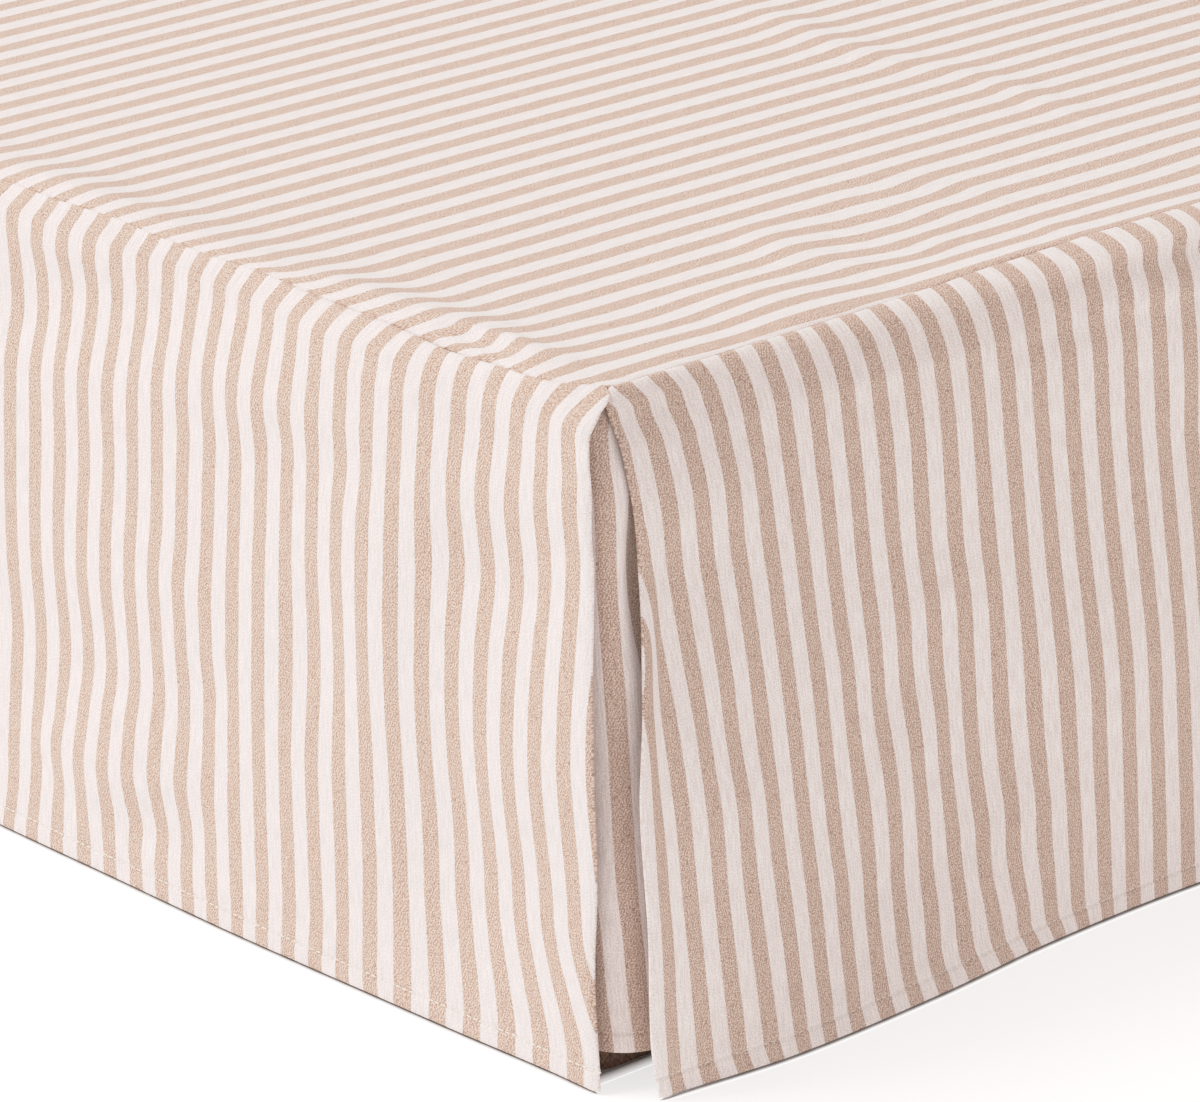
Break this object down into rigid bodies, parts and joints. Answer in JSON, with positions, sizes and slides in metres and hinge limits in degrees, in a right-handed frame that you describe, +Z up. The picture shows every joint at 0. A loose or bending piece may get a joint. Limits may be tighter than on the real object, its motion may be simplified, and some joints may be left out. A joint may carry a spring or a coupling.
{
  "type": "bed skirt on a bed base",
  "caption": "Striped bed skirt with a flat deck panel, hanging drops on the foot and sides, and split foot corners backed by pleat panels, fitted over a plain upholstered bed base.",
  "frame": {"origin": "on the floor, under the middle of the bed base", "axes": "+Z up, +Y from the foot of the bed towards its head, +X towards the bed's right-hand side seen from the foot"},
  "size_m": [1.5932, 2.0282, 0.3458],
  "materials": {
    "striped_cloth": "matt woven cotton with even tan and off-white stripes",
    "base_cloth": "matt coarse dark brown weave"
  },
  "bodies": {
    "root": {"bed_base": "base_cloth", "deck_panel": "striped_cloth", "foot_drop": "striped_cloth", "right_side_drop": "striped_cloth", "left_side_drop": "striped_cloth", "right_corner_pleat": "striped_cloth", "left_corner_pleat": "striped_cloth"}
  },
  "joints": []
}
